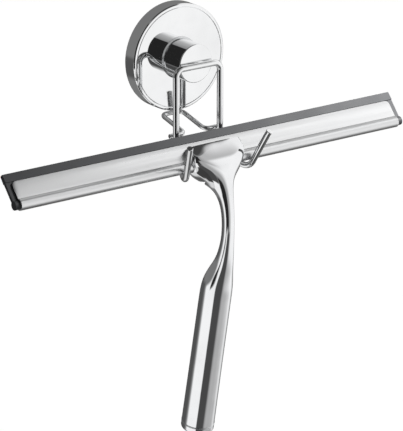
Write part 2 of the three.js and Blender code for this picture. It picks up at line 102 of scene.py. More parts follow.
WELD_GAP = 0.1
WIRE_RADIUS = 1.7
WIRE_Y = -(POST_END + WIRE_RADIUS + WELD_GAP)
WIRE_STEP = 2.5  # longest stretch between two rings of a wire's mesh
LEG_X = 14.2
BAR_Z = -0.8
BAR_BEND = 4.0
LEG_END_Z = -39.0
KNEE_BEND = 7.0
HOOK_GAP = 0.35  # between the wire and the bead that it carries
HOOK_X = 20.0
PRONG_TIP = (25.6, -34.0)
PRONG_LEAN = math.radians(26.6)

STANDOFF_RADIUS = 1.25
STANDOFF_X = 6.5
STANDOFF_Z = -37.3
STANDOFF_RISE = 5.0
STANDOFF_OVERHANG = 2.2
STANDOFF_BEND = 3.0

BLADE_Y = -41.3
BLADE_Z = -49.4
BLADE_TILT = math.radians(41)
CHANNEL_LENGTH = 244.0
BEAD_RADIUS = 3.1
JAW_HALF = 1.7
SHEET = 0.6
JAW_TOP = 12.4
JAW_CORNER = 2.5
RUBBER_LENGTH = 250.0
RUBBER_BEAD = 2.4
RUBBER_WEB = 1.0
RUBBER_LIP = 1.5
RUBBER_EDGE = 1.2
LIP_TOP = 17.2
LIP_GAP = 0.1  # between the lip and the jaws

GRIP_END = (-26.3, -200.6)
GRIP_LEAN = math.radians(11.6)
GRIP_BORE = 6.5
GRIP_BORE_DEPTH = 66.0
HEAD_GAP = 0.25
CLAMP_GAP = 0.3
SEAT_FACE, SEAT_BOTTOM, SEAT_TOP = 0.1, -9.2, 10.0
JAW_FOOT = 2.2
TOOL_REACH = 30.0
TOOL_HALF_LENGTH = 40.0
COLLAR_RADIUS = 9.15
COLLAR_BACK, COLLAR_FRONT = 0.1, 0.8
CAP_RADIUS = 9.0
CAP_BACK, CAP_FRONT, CAP_CROWN = 0.9, 4.5, 4.8
STEM_BORE, STEM_RADIUS, STEM_LENGTH = 4.8, 6.2, 9.0

blade_frame = Matrix.Translation((0, BLADE_Y * MM, BLADE_Z * MM)) @ Matrix.Rotation(-BLADE_TILT, 4, "X")
grip_frame = Matrix.Translation((0, GRIP_END[0] * MM, GRIP_END[1] * MM)) @ Matrix.Rotation(GRIP_LEAN, 4, "X")
grip_axis = grip_frame @ Matrix.Rotation(math.pi / 2, 4, "X")  # depth runs down, out of the grip


# ---------------------------------------------------------------- materials


class Shader:
    """A material with a Principled shader and short ways to add procedural detail to it."""

    def __init__(self, name, colour, metallic, roughness):
        self.material = bpy.data.materials.new(name)
        self.material.use_nodes = True
        self.nodes = self.material.node_tree.nodes
        self.links = self.material.node_tree.links
        self.surface = self.nodes["Principled BSDF"]
        self.surface.inputs["Base Color"].default_value = (*colour, 1)
        self.surface.inputs["Metallic"].default_value = metallic
        self.surface.inputs["Roughness"].default_value = roughness
        self.place = self.nodes.new("ShaderNodeTexCoord")

    def noise(self, scale, stretch=(1, 1, 1), detail=4.0, roughness=0.55):
        """Noise over the piece in metres; a stretch below 1 draws it out along that axis."""
        mapping = self.nodes.new("ShaderNodeMapping")
        mapping.vector_type = "POINT"
        mapping.inputs["Scale"].default_value = stretch
        self.links.new(self.place.outputs["Object"], mapping.inputs["Vector"])
        texture = self.nodes.new("ShaderNodeTexNoise")
        texture.inputs["Scale"].default_value = scale
        texture.inputs["Detail"].default_value = detail
        texture.inputs["Roughness"].default_value = roughness
        self.links.new(mapping.outputs["Vector"], texture.inputs["Vector"])
        return texture.outputs["Fac"]

    def span(self, value, low, high, start=0.3, end=0.7):
        """Maps a noise between start and end onto low..high."""
        mapped = self.nodes.new("ShaderNodeMapRange")
        mapped.inputs["From Min"].default_value = start
        mapped.inputs["From Max"].default_value = end
        mapped.inputs["To Min"].default_value = low
        mapped.inputs["To Max"].default_value = high
        self.links.new(value, mapped.inputs["Value"])
        return mapped.outputs["Result"]

    def blend_colours(self, factor, first, second):
        """Colours the surface between two colours."""
        mix = self.nodes.new("ShaderNodeMix")
        mix.data_type = "RGBA"
        mix.inputs["A"].default_value = (*first, 1)
        mix.inputs["B"].default_value = (*second, 1)
        self.links.new(factor, mix.inputs["Factor"])
        self.links.new(mix.outputs["Result"], self.surface.inputs["Base Color"])

    def drive(self, socket, value):
        """Lets a varying value set one of the surface's sockets."""
        self.links.new(value, self.surface.inputs[socket])

    def bump(self, *layers):
        """Stacks bumps, each (height, strength, distance in metres)."""
        normal = None
        for height, strength, distance in layers:
            bump = self.nodes.new("ShaderNodeBump")
            bump.inputs["Strength"].default_value = strength
            bump.inputs["Distance"].default_value = distance
            self.links.new(height, bump.inputs["Height"])
            if normal is not None:
                self.links.new(normal, bump.inputs["Normal"])
            normal = bump.outputs["Normal"]
        self.links.new(normal, self.surface.inputs["Normal"])


def chrome(name, colour, roughness, waviness):
    """Polished plate: near-mirror, with faint waves, wiping haze and very fine polishing lines."""
    shader = Shader(name, colour, 1.0, roughness)
    haze = shader.noise(55, detail=3)
    fine = shader.noise(900, detail=2)
    shader.drive("Roughness", shader.span(haze, roughness * 0.6, roughness * 1.7))
    duller = tuple(c * 0.93 for c in colour)
    shader.blend_colours(shader.span(haze, 0, 1, 0.35, 0.75), colour, duller)
    waves = shader.noise(90, detail=1)
    shader.bump((waves, waviness, 0.0004), (fine, 0.03, 0.00002))
    return shader.material


def satin_steel(name):
    """Stainless strip with its grain along X."""
    shader = Shader(name, (0.86, 0.865, 0.87), 1.0, 0.3)
    grain = shader.noise(260, stretch=(0.02, 1, 1), detail=6, roughness=0.7)
    streaks = shader.noise(60, stretch=(0.05, 1, 1), detail=2)
    shader.drive("Roughness", shader.span(grain, 0.26, 0.42))
    shader.blend_colours(shader.span(streaks, 0, 1), (0.86, 0.865, 0.87), (0.79, 0.795, 0.8))
    shader.surface.inputs["Anisotropic"].default_value = 0.4
    shader.bump((grain, 0.22, 0.00004), (streaks, 0.08, 0.0001))
    return shader.material


def black_rubber(name):
    """Extruded rubber: matt, with drawn lines along X and a little grey bloom."""
    shader = Shader(name, (0.05, 0.051, 0.054), 0.0, 0.6)
    lines = shader.noise(300, stretch=(0.03, 1, 1), detail=4)
    bloom = shader.noise(40, detail=5)
    shader.blend_colours(shader.span(bloom, 0, 1, 0.35, 0.8), (0.016, 0.0165, 0.018), (0.032, 0.033, 0.035))
    shader.surface.inputs["Specular IOR Level"].default_value = 0.12
    shader.drive("Roughness", shader.span(bloom, 0.5, 0.7))
    shader.bump((lines, 0.25, 0.00006), (shader.noise(1500, detail=2), 0.15, 0.00003))
    return shader.material


def cup_rubber(name):
    """Soft milky rubber with a faint moulded texture."""
    shader = Shader(name, (0.62, 0.65, 0.66), 0.0, 0.35)
    cloud = shader.noise(70, detail=4)
    shader.blend_colours(shader.span(cloud, 0, 1), (0.66, 0.69, 0.7), (0.5, 0.54, 0.56))
    shader.drive("Roughness", shader.span(cloud, 0.28, 0.46))
    shader.surface.inputs["Subsurface Weight"].default_value = 0.3
    shader.surface.inputs["Subsurface Scale"].default_value = 0.002
    shader.bump((shader.noise(700, detail=3), 0.1, 0.00005))
    return shader.material


def white_plastic(name):
    """Moulded plastic: slightly warm white, with a fine orange-peel surface."""
    shader = Shader(name, (0.8, 0.8, 0.78), 0.0, 0.42)
    cloud = shader.noise(60, detail=4)
    shader.blend_colours(shader.span(cloud, 0, 1), (0.82, 0.82, 0.8), (0.74, 0.735, 0.71))
    shader.drive("Roughness", shader.span(cloud, 0.36, 0.52))
    shader.bump((shader.noise(1200, detail=2), 0.12, 0.00003))
    return shader.material


def bright_steel(name):
    """Turned or drawn steel: bright, with fine tool marks."""
    shader = Shader(name, (0.72, 0.73, 0.74), 1.0, 0.16)
    marks = shader.noise(500, stretch=(1, 0.2, 1), detail=5)
    shader.drive("Roughness", shader.span(marks, 0.1, 0.26))
    cloud = shader.noise(120, detail=3)
    shader.blend_colours(shader.span(cloud, 0, 1), (0.74, 0.75, 0.76), (0.64, 0.65, 0.66))
    shader.bump((marks, 0.12, 0.00004))
    return shader.material


MATERIALS = {
    "chrome_shell": chrome("polished chrome plate", (0.9, 0.905, 0.91), 0.035, 0.05),
    "chrome_wire": chrome("chromed wire", (0.88, 0.885, 0.89), 0.05, 0.1),
    "chrome_casting": chrome("chromed casting", (0.89, 0.895, 0.905), 0.045, 0.12),
    "bright_steel": bright_steel("bright steel"),
    "satin_steel": satin_steel("satin stainless"),
    "black_rubber": black_rubber("black rubber"),
    "clear_rubber": cup_rubber("milky rubber"),
    "white_plastic": white_plastic("white plastic"),
}


# ---------------------------------------------------------------- mesh builders


def finish_mesh(name, vertices, faces, matrix=Matrix.Identity(4), sharp=32):
    """A mesh object from points in millimetres, with outward normals and smooth shading up to an angle."""
    mesh = bpy.data.meshes.new(name)
    mesh.from_pydata([tuple(c * MM for c in v) for v in vertices], [], faces)
    mesh.transform(matrix)
    work = bmesh.new()
    work.from_mesh(mesh)
    bmesh.ops.remove_doubles(work, verts=work.verts, dist=1e-7)
    bmesh.ops.recalc_face_normals(work, faces=work.faces)
    work.to_mesh(mesh)
    work.free()
    obj = bpy.data.objects.new(name, mesh)
    bpy.context.scene.collection.objects.link(obj)
    shade(obj, sharp)
    return obj


def shade(obj, sharp):
    """Smooth shading, with edges kept sharp from an angle in degrees."""
    obj.data.shade_smooth()
    obj.data.set_sharp_from_angle(angle=math.radians(sharp))


def place_piece(obj, body, slot, *replaced):
    """Gives a piece its body, its finish and the CAD nodes that it stands for."""
    obj.data.materials.clear()
    obj.data.materials.append(MATERIALS[slot])
    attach(obj, body)
    if replaced:
        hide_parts(*replaced)


def rounded(corners, closed=True, support=0.03):
    """Rounds a polyline, with a point just beside each arc that keeps smooth shading off the flats.

    Each corner is (x, y) or (x, y, radius).
    """
    points = []
    count = len(corners)
    for i, corner in enumerate(corners):
        here = Vector(corner[:2])
        radius = corner[2] if len(corner) > 2 else 0
        at_end = not closed and i in (0, count - 1)
        if radius == 0 or at_end:
            points.append(here)
            continue
        before = (Vector(corners[i - 1][:2]) - here).normalized()
        after = (Vector(corners[(i + 1) % count][:2]) - here).normalized()
        half = before.angle(after) / 2
        trim = radius / math.tan(half)
        centre = here + (before + after).normalized() * (radius / math.sin(half))
        start = here + before * trim - centre
        sweep = start.angle_signed(here + after * trim - centre)
        steps = max(3, int(abs(sweep) / math.radians(12)))
        points.append(here + before * (trim + support))
        for k in range(steps + 1):
            turn = Matrix.Rotation(-sweep * k / steps, 2)
            points.append(centre + turn @ start)
        points.append(here + after * (trim + support))
    return [tuple(p) for p in points]


def arc(radius, start, end, steps):
    """Points round the origin from one angle to another."""
    return [(radius * math.cos(angle), radius * math.sin(angle)) for angle in np.linspace(start, end, steps)]


def bead_arc(bead, half, steps):
    """The round of a bead under a web of the given half width, from the web's left face to its right one."""
    joint = math.asin(half / bead)
    return arc(bead, math.pi / 2 + joint, math.pi / 2 - joint + 2 * math.pi, steps)


def tube_faces(rows, count):
    """Faces over rows of count points each, with a cap on both ends."""
    last = (rows - 1) * count
    faces = [list(range(count)), list(range(last, last + count))[::-1]]
    for row in range(rows - 1):
        for k in range(count):
            n = (k + 1) % count
            a, b = row * count, (row + 1) * count
            faces.append([a + k, a + n, b + n, b + k])
    return faces


def turned(name, profile, segments=160, matrix=Matrix.Identity(4), sharp=32):
    """Turns a closed profile of (radius, depth) about the Y axis; depth counts towards -Y."""
    vertices = []
    rings = []
    for radius, depth in profile:
        if radius < 1e-6:
            rings.append([len(vertices)] * segments)
            vertices.append((0, -depth, 0))
            continue
        rings.append(list(range(len(vertices), len(vertices) + segments)))
        for k in range(segments):
            angle = 2 * math.pi * k / segments
            vertices.append((radius * math.cos(angle), -depth, radius * math.sin(angle)))
    faces = []
    closes = profile[0][0] > 1e-6
    pairs = list(zip(rings, rings[1:])) + ([(rings[-1], rings[0])] if closes else [])
    for one, two in pairs:
        for k in range(segments):
            n = (k + 1) % segments
            corners = [one[k], one[n], two[n], two[k]]
            face = list(dict.fromkeys(corners))
            if len(face) > 2:
                faces.append(face)
    return finish_mesh(name, vertices, faces, matrix, sharp)


def prism(name, section, stations, matrix, sharp=32):
    """A body along X. section(x) gives the outline as (across, along) pairs at that x."""
    vertices = []
    outlines = [section(x) for x in stations]
    for x, outline in zip(stations, outlines):
        vertices += [(x, across, along) for across, along in outline]
    return finish_mesh(name, vertices, tube_faces(len(stations), len(outlines[0])), matrix, sharp)


def bent_path(corners, bends, spacing=0.6):
    """Points along straight runs joined by true arcs."""
    corners = [Vector(c) for c in corners]
    points = [corners[0]]
    for i in range(1, len(corners) - 1):
        before = (corners[i] - corners[i - 1]).normalized()
        after = (corners[i + 1] - corners[i]).normalized()
        angle = before.angle(after)
        radius = bends[i - 1]
        trim = radius * math.tan(angle / 2)
        start = corners[i] - before * trim
        inward = (after - before * before.dot(after)).normalized()
        points.append(start)
        steps = max(4, int(radius * angle / spacing))
        for k in range(1, steps + 1):
            turn = angle * k / steps
            onward, sideways = radius * math.sin(turn), radius * (1 - math.cos(turn))
            points.append(start + before * onward + inward * sideways)
    points.append(corners[-1])
    return points


def subdivided(points, spacing):
    """Adds points so that none is further than spacing from the next."""
    result = [points[0]]
    for a, b in zip(points, points[1:]):
        steps = max(1, int((b - a).length / spacing))
        result += [a.lerp(b, k / steps) for k in range(1, steps + 1)]
    return result


def wire(name, points, radius, sides=24, chamfer=0.25):
    """A round wire along a path, with cut ends that are slightly broken at the edge."""
    points = subdivided(points, WIRE_STEP)
    tangents = []
    for i in range(len(points)):
        a = points[max(i - 1, 0)]
        b = points[min(i + 1, len(points) - 1)]
        tangents.append((b - a).normalized())
    across = tangents[0].orthogonal().normalized()
    rings = []
    for i, (point, tangent) in enumerate(zip(points, tangents)):
        if i:
            across = tangents[i - 1].rotation_difference(tangent) @ across
        across = (across - tangent * across.dot(tangent)).normalized()
        rings.append((point, tangent, across, radius))
    first, last = rings[0], rings[-1]
    rings[0] = (first[0] + first[1] * chamfer, *first[1:])
    rings[-1] = (last[0] - last[1] * chamfer, *last[1:])
    rings.insert(0, (first[0], first[1], first[2], radius - chamfer))
    rings.append((last[0], last[1], last[2], radius - chamfer))
    vertices = []
    for point, tangent, across, size in rings:
        side = tangent.cross(across)
        for k in range(sides):
            angle = 2 * math.pi * k / sides
            vertices.append(tuple(point + (across * math.cos(angle) + side * math.sin(angle)) * size))
    return finish_mesh(name, vertices, tube_faces(len(rings), sides), sharp=40)


def nugget(name, centre, size, seed):
    """A small smooth weld: a rounded, slightly lumpy ellipsoid."""
    work = bmesh.new()
    bmesh.ops.create_icosphere(work, subdivisions=4, radius=1)
    for vertex in work.verts:
        c = vertex.co
        lump = 1 + 0.05 * math.sin(5 * c.x + seed) * math.cos(4 * c.z - seed)
        vertex.co = Vector((c.x * size[0], c.y * size[1], c.z * size[2])) * (lump * MM)
        vertex.co += Vector(centre) * MM
    mesh = bpy.data.meshes.new(name)
    work.to_mesh(mesh)
    work.free()
    obj = bpy.data.objects.new(name, mesh)
    bpy.context.scene.collection.objects.link(obj)
    shade(obj, 60)
    return obj


def carve(obj, *tools):
    """Cuts tools out of obj for good, and removes them."""
    for tool in tools:
        modifier = obj.modifiers.new("cut", "BOOLEAN")
        modifier.operation = "DIFFERENCE"
        modifier.solver = "EXACT"
        modifier.object = tool
    bpy.context.view_layer.update()
    mesh = bpy.data.meshes.new_from_object(obj.evaluated_get(bpy.context.evaluated_depsgraph_get()))
    obj.modifiers.clear()
    obj.data = mesh
    for tool in tools:
        bpy.data.objects.remove(tool, do_unlink=True)


# ---------------------------------------------------------------- wall holder


def build_shell():
    """Wall plate: a drum with a softly bevelled rim and a fine double line round its face."""
    r, front, back, wall = PLATE_RADIUS, PLATE_FRONT, PLATE_BACK, PLATE_WALL
    line = r - LINE_INSET
    profile = rounded(
        [
            (PLATE_BORE, front - wall),
            (r - wall, front - wall, 0.6),
            (r - wall, back, 0.15),
            (r, back, 0.25),
            (r, front - PLATE_BEVEL, 0.3),
            (r - PLATE_BEVEL, front, 0.3),
            (line + LINE_WIDTH, front, 0.05),
            (line + 0.22, front - 0.22, 0.05),
            (line, front, 0.05),
            (PLATE_BORE, front),
        ]
    )
    place_piece(turned("wall_plate_shell", profile, 256, sharp=50), "wall_plate", "chrome_shell", "housing")


def build_post():
    """The post, its spigot through the plate and its bore for the stud."""
    profile = rounded(
        [
            (0, POST_BORE_END),
            (POST_BORE, POST_BORE_END),
            (POST_BORE, POST_BACK, 0.15),
            (SPIGOT_RADIUS, POST_BACK, 0.2),
            (SPIGOT_RADIUS, POST_FOOT),
            (POST_RADIUS, POST_FOOT, 0.3),
            (POST_RADIUS, POST_END, 0.45),
            (0, POST_END),
        ],
        closed=False,
    )
    place_piece(turned("post_barrel", profile, 192, sharp=50), "hanger", "chrome_shell", "post")


def build_washer():
    """Washer under the post's foot, with a broad chamfer."""
    low, high = node_size("thrust_washer")
    outer, back, front = high[0], -high[1], -low[1]
    inner, foot = WASHER_BORE, outer - WASHER_CHAMFER
    profile = rounded([(inner, back), (outer, back, 0.05), (foot, front, 0.05), (inner, front)])
    place_piece(turned("foot_washer", profile, 160, sharp=50), "hanger", "bright_steel", "thrust_washer")


def build_cup():
    """Suction cup in one piece: a lip on the wall, a slope, and a middle that the stud draws forward."""
    radius = node_size("cup_skirt")[1][0]
    core_low, core_high = node_size("cup_core")
    lift, hub_front = -core_high[1], -core_low[1]

    def drawn(r):
        """The share of the stud's draw that the cup follows at a radius."""
        share = min(max((CUP_LIP - r) / (CUP_LIP - CUP_MIDDLE), 0), 1)
        return share * share * (3 - 2 * share)

    def thickness(r):
        return CUP_THICKNESS + CUP_SWELL * (CUP_LIP + 5 - r)

    inside = [(r, lift * drawn(r)) for r in np.linspace(0, CUP_LIP, 24)]
    outside = [(r, lift * drawn(r) + thickness(r)) for r in np.linspace(CUP_LIP + 4, 9.5, 20)]
    profile = (
        inside
        + [(radius - 0.25, 0.0), (radius, 0.2), (radius - 0.1, 0.5), (radius - 0.8, 0.85)]
        + outside
        + [(HUB_RADIUS, hub_front - 0.4), (HUB_RADIUS - 0.4, hub_front)]
        + [(STUD_BORE, hub_front), (STUD_BORE, FLANGE_FRONT)]
        + [(FLANGE_RADIUS, FLANGE_FRONT), (FLANGE_RADIUS, FLANGE_BACK), (0, FLANGE_BACK)]
    )
    cup = turned("suction_cup", profile, 160, sharp=60)
    cup.data.materials.append(MATERIALS["clear_rubber"])
    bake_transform(cup)
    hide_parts("cup_skirt", "cup_core")


# ---------------------------------------------------------------- wire hanger


def hook_corner():
    """Where the wire would turn under the bead if it had no bend there, and the bend's radius."""
    reach = BEAD_RADIUS + WIRE_RADIUS + HOOK_GAP
    to_bead = (WIRE_Y - BLADE_Y, BLADE_Z - LEG_END_Z)
    distance = math.hypot(*to_bead)
    steepness = math.atan2(to_bead[0], -to_bead[1]) - math.asin(reach / distance)
    turn = math.pi - steepness - PRONG_LEAN
    run = math.sqrt(distance**2 - reach**2) + reach * math.tan(turn / 2)
    return WIRE_Y - run * math.sin(steepness), LEG_END_Z - run * math.cos(steepness), reach


def build_hanger():
    """Main wire: a bar across the post's end, two legs and two hooks with leaning prongs."""
    corner_y, corner_z, hook_bend = hook_corner()
    tip_x, tip_z = PRONG_TIP
    tip_y = corner_y - (tip_z - corner_z) * math.tan(PRONG_LEAN)

    def side(sign):
        return [
            (sign * tip_x, tip_y, tip_z),
            (sign * HOOK_X, corner_y, corner_z),
            (sign * LEG_X, WIRE_Y, LEG_END_Z),
            (sign * LEG_X, WIRE_Y, BAR_Z),
        ]

    bends = [hook_bend, KNEE_BEND, BAR_BEND]
    path = bent_path(side(-1) + side(1)[::-1], bends + bends[::-1])
    place_piece(wire("hanger_main_wire", path, WIRE_RADIUS, 32), "hanger", "chrome_wire", "hanger_wire")
    weld = nugget("bar_weld", (0, -POST_END - 0.4, BAR_Z), size=(6.5, 1.1, 1.9), seed=1.3)
    place_piece(weld, "hanger", "chrome_wire")


def build_standoff():
    """Loop welded behind the legs, whose far end stands against the wall."""
    weld_y = WIRE_Y + WIRE_RADIUS + STANDOFF_RADIUS + WELD_GAP
    far_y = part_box("standoff_wire")[1][1] / MM - STANDOFF_RADIUS

    def side(sign):
        return [
            (sign * (LEG_X + STANDOFF_OVERHANG), weld_y, STANDOFF_Z),
            (sign * STANDOFF_X, weld_y, STANDOFF_Z),
            (sign * STANDOFF_X, far_y, STANDOFF_Z + STANDOFF_RISE),
        ]

    path = bent_path(side(-1) + side(1)[::-1], [STANDOFF_BEND] * 4, 0.5)
    loop = wire("standoff_loop", path, STANDOFF_RADIUS, 24, 0.2)
    place_piece(loop, "hanger", "chrome_wire", "standoff_wire")
    for sign, side_name in ((-1, "left"), (1, "right")):
        centre = (sign * LEG_X, weld_y - STANDOFF_RADIUS - WELD_GAP / 2, STANDOFF_Z)
        weld = nugget(f"standoff_weld_{side_name}", centre, size=(1.5, 0.8, 1.3), seed=2.1 * sign)
        place_piece(weld, "hanger", "chrome_wire")


# ---------------------------------------------------------------- blade


def build_channel():
    """Folded strip with rounded corners, a soft fold where the jaws meet the bead, and a real thickness."""
    inner_bead, inner_half = BEAD_RADIUS - SHEET, JAW_HALF - SHEET
    half_length = CHANNEL_LENGTH / 2
    outside = bead_arc(BEAD_RADIUS, JAW_HALF, 48)
    inside = bead_arc(inner_bead, inner_half, 36)[::-1]

    def jaw_edge(top):
        """The rolled edge of the right jaw's sheet."""
        middle = (JAW_HALF + inner_half) / 2
        half = SHEET / 2
        return [(middle + across, top - half + along) for across, along in arc(half, 0, math.pi, 9)]

    def section(x):
        inset = max(0, abs(x) - (half_length - JAW_CORNER))
        top = JAW_TOP - (JAW_CORNER - math.sqrt(max(JAW_CORNER**2 - inset**2, 0)))
        right = jaw_edge(top)
        left = [(-across, along) for across, along in right[::-1]]
        return outside + right + inside + left

    corner = [half_length - JAW_CORNER + JAW_CORNER * math.sin(a) for a in np.linspace(0, math.pi / 2, 12)]
    middle = list(np.linspace(-half_length + JAW_CORNER, half_length - JAW_CORNER, 40))[1:-1]
    stations = [-x for x in corner[::-1]] + middle + corner
    channel = prism("blade_channel", section, stations, blade_frame, sharp=40)
    place_piece(channel, "squeegee", "satin_steel", "channel")


def build_rubber():
    """Extruded lip on a web, held by the round bead inside the channel."""
    shoulder = JAW_TOP + LIP_GAP
    lip = rounded(
        [
            (RUBBER_LIP, shoulder, 0.2),
            (RUBBER_EDGE, LIP_TOP, 0.12),
            (-RUBBER_EDGE, LIP_TOP, 0.12),
            (-RUBBER_LIP, shoulder, 0.2),
        ]
    )
    bead = bead_arc(RUBBER_BEAD, RUBBER_WEB, 40)
    outline = lip + [(-RUBBER_WEB, shoulder)] + bead + [(RUBBER_WEB, shoulder)]
    half, support = RUBBER_LENGTH / 2, 0.3
    stations = [-half] + list(np.linspace(-half + support, half - support, 60)) + [half]
    rubber = prism("rubber_wiper", lambda x: outline, stations, blade_frame, sharp=40)
    place_piece(rubber, "squeegee", "black_rubber", "rubber_blade")


# ---------------------------------------------------------------- handle

# Stations up the casting: (y, z, half width along X, depth to the front and to the back, squareness, taper).
# The taper is the share by which the section is narrower at its front than at its middle.
STATIONS = [
    (*GRIP_END, 9, 9, 9, 2, 0),
    (-34, -163, 8.75, 8.75, 8.75, 2, 0),
    (-41, -129, 8.65, 8.65, 8.65, 2, 0),
    (-43.4, -118, 8.55, 8.5, 8.5, 2, 0),
    (-46.3, -110.5, 7, 7, 7.1, 2, 0),
    (-49.4, -103.5, 5.1, 5.1, 5.2, 2.1, 0),
    (-51.6, -96, 3.9, 3.9, 3.9, 2.3, 0),
    (-53, -87, 3.1, 3.3, 3.2, 2.5, 0),
    (-53.2, -78, 3, 3.4, 3.3, 2.5, 0),
    (-52.2, -70, 3.4, 3.7, 3.9, 2.5, 0.05),
    (-50.4, -64, 4.4, 4.5, 5.4, 2.6, 0.15),
    (-48.6, -59.5, 6.7, 5.2, 7.6, 3, 0.35),
    (-46.8, -55.8, 10.6, 5.9, 9.2, 3.5, 0.4),
    (-45, -52.4, 14.8, 6.4, 9.4, 4.1, 0.3),
    (-42.4, -47.5, 17.3, 6.5, 8, 4.6, 0.03),
    (-38.8, -41.6, 16.7, 5, 6, 4.6, 0),
    (-38.2, -40.7, 16.4, 4.6, 6, 4.6, 0),
]


def centripetal(points, t):
    """Point at t (0..1) on the centripetal Catmull-Rom curve through points, one span per pair of points."""
    count = len(points) - 1
    place = min(max(t, 0), 1) * count
    i = min(int(place), count - 1)
    local = place - i
    p1, p2 = points[i], points[i + 1]
    p0 = points[i - 1] if i > 0 else 2 * p1 - p2
    p3 = points[i + 2] if i < count - 1 else 2 * p2 - p1
    d0, d1, d2 = (max(np.linalg.norm(b - a), 1e-9) ** 0.5 for a, b in ((p0, p1), (p1, p2), (p2, p3)))
    m1 = ((p1 - p0) / d0 - (p2 - p0) / (d0 + d1) + (p2 - p1) / d1) * d1
    m2 = ((p2 - p1) / d1 - (p3 - p1) / (d1 + d2) + (p3 - p2) / d2) * d1
    a = 2 * p1 - 2 * p2 + m1 + m2
    b = -3 * p1 + 3 * p2 - 2 * m1 - m2
    return ((a * local + b) * local + m1) * local + p1


def smoothed(rows, reach=5, passes=3):
    """Runs a moving average along the rows, with both ends carried on in a straight line."""
    rows = np.array(rows)
    window = np.ones(2 * reach + 1) / (2 * reach + 1)
    for _ in range(passes):
        before = 2 * rows[0] - rows[reach:0:-1]
        after = 2 * rows[-1] - rows[-2 : -reach - 2 : -1]
        padded = np.concatenate([before, rows, after])
        rows = np.stack([np.convolve(column, window, "valid") for column in padded.T], axis=1)
    return rows


def handle_blank():
    """The casting before its slot is cut: a loft of superellipses along a bent spine."""
    table = np.array(STATIONS, float)
    spine = [np.array([0, y, z]) for y, z in table[:, :2]]
    sizes = [row[2:5] for row in table]
    # The count i spaces these evenly, so that the curve doesn't overshoot where they stay the same.
    shapes = [np.array([i, square, taper]) for i, (square, taper) in enumerate(table[:, 5:])]
    rings, sides = 260, 160
    places = [ring / rings for ring in range(rings + 1)]
    centres = smoothed([centripetal(spine, t) for t in places])
    widths = smoothed([centripetal(sizes, t) for t in places])
    sections = smoothed([centripetal(shapes, t) for t in places])
    tangents = np.gradient(centres, axis=0)
    vertices = []
    for centre, ahead, size, section in zip(centres, tangents, widths, sections):
        tangent = ahead / np.linalg.norm(ahead)
        width, front, back = size
        _, square, taper = section
        for k in range(sides):
            angle = 2 * math.pi * k / sides
            across, deep = round(math.cos(angle), 9), round(math.sin(angle), 9)
            reach = (abs(across) ** square + abs(deep) ** square) ** (-1 / square)
            x = across * reach * width
            x *= 1 + taper * deep * reach if deep < 0 else 1
            n = deep * reach * (back if deep > 0 else front)
            vertices.append((x, centre[1] + n * tangent[2], centre[2] - n * tangent[1]))
    return finish_mesh("handle_casting", vertices, tube_faces(rings + 1, sides))


def slot_tool(name, outline, half_length):
    """A straight cutting tool along the blade."""
    return prism(name, lambda x: outline, [-half_length, half_length], blade_frame)


def build_handle():
    """The casting, cut for the channel, the clamp plate and the hollow of the grip."""
    casting = handle_blank()
    face, reach, far = JAW_HALF + HEAD_GAP, TOOL_REACH, TOOL_HALF_LENGTH
    keyhole = [(face, reach), (-face, reach)] + bead_arc(BEAD_RADIUS + HEAD_GAP, face, 40)
    behind = [(-face, JAW_FOOT), (reach, JAW_FOOT), (reach, far), (-face, far)]
    seat = [(SEAT_FACE, SEAT_BOTTOM), (reach, SEAT_BOTTOM), (reach, SEAT_TOP), (SEAT_FACE, SEAT_TOP)]
    seat_half = node_size("clamp_plate")[1][0] + CLAMP_GAP
    bore = [(0, 5), (GRIP_BORE, 5), (GRIP_BORE, -GRIP_BORE_DEPTH), (0, -GRIP_BORE_DEPTH)]
    carve(
        casting,
        slot_tool("tool_bead", keyhole, far),
        slot_tool("tool_behind", behind, far),
        slot_tool("tool_seat", seat, seat_half),
        turned("tool_bore", bore, 64, grip_axis),
    )
    shade(casting, 35)
    place_piece(casting, "squeegee", "chrome_casting", "handle")


def build_grip_end():
    """Collar and plugged cap, turned about the grip's axis."""
    collar = rounded(
        [
            (GRIP_BORE, COLLAR_BACK),
            (COLLAR_RADIUS, COLLAR_BACK, 0.3),
            (COLLAR_RADIUS, COLLAR_FRONT, 0.3),
            (GRIP_BORE, COLLAR_FRONT),
        ]
    )
    piece = turned("grip_collar", collar, 128, grip_axis, sharp=50)
    place_piece(piece, "squeegee", "bright_steel", "cap_collar")
    cap = rounded(
        [
            (0, CAP_BACK),
            (STEM_BORE, CAP_BACK),
            (STEM_BORE, -STEM_LENGTH),
            (STEM_RADIUS, -STEM_LENGTH, 0.3),
            (STEM_RADIUS, CAP_BACK),
            (CAP_RADIUS, CAP_BACK, 0.1),
            (CAP_RADIUS, CAP_FRONT, 1.2),
            (0, CAP_CROWN),
        ],
        closed=False,
    )
    piece = turned("grip_cap", cap, 128, grip_axis, sharp=50)
    place_piece(piece, "squeegee", "chrome_casting", "end_cap")


# ---------------------------------------------------------------- CAD nodes that keep their shape

CARRIED = {
    "pressure_ring": "white_plastic",
    "cam_ring": "white_plastic",
    "draw_stud": "bright_steel",
    "cross_pin": "bright_steel",
    "retaining_clip": "bright_steel",
    "clamp_plate": "chrome_casting",
    "clamp_screw_left": "bright_steel",
    "clamp_screw_right": "bright_steel",
}


def dress_carried_nodes():
    """Finishes and softly broken edges for the CAD nodes that stay as they are."""
    for node, slot in CARRIED.items():
        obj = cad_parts[node]
        obj.data.materials.clear()
        obj.data.materials.append(MATERIALS[slot])
        bevel = obj.modifiers.new("soft edges", "BEVEL")
        bevel.width = 0.12 * MM
        bevel.segments = 2
        bevel.limit_method = "ANGLE"
        bevel.angle_limit = math.radians(40)


# ---------------------------------------------------------------- studio


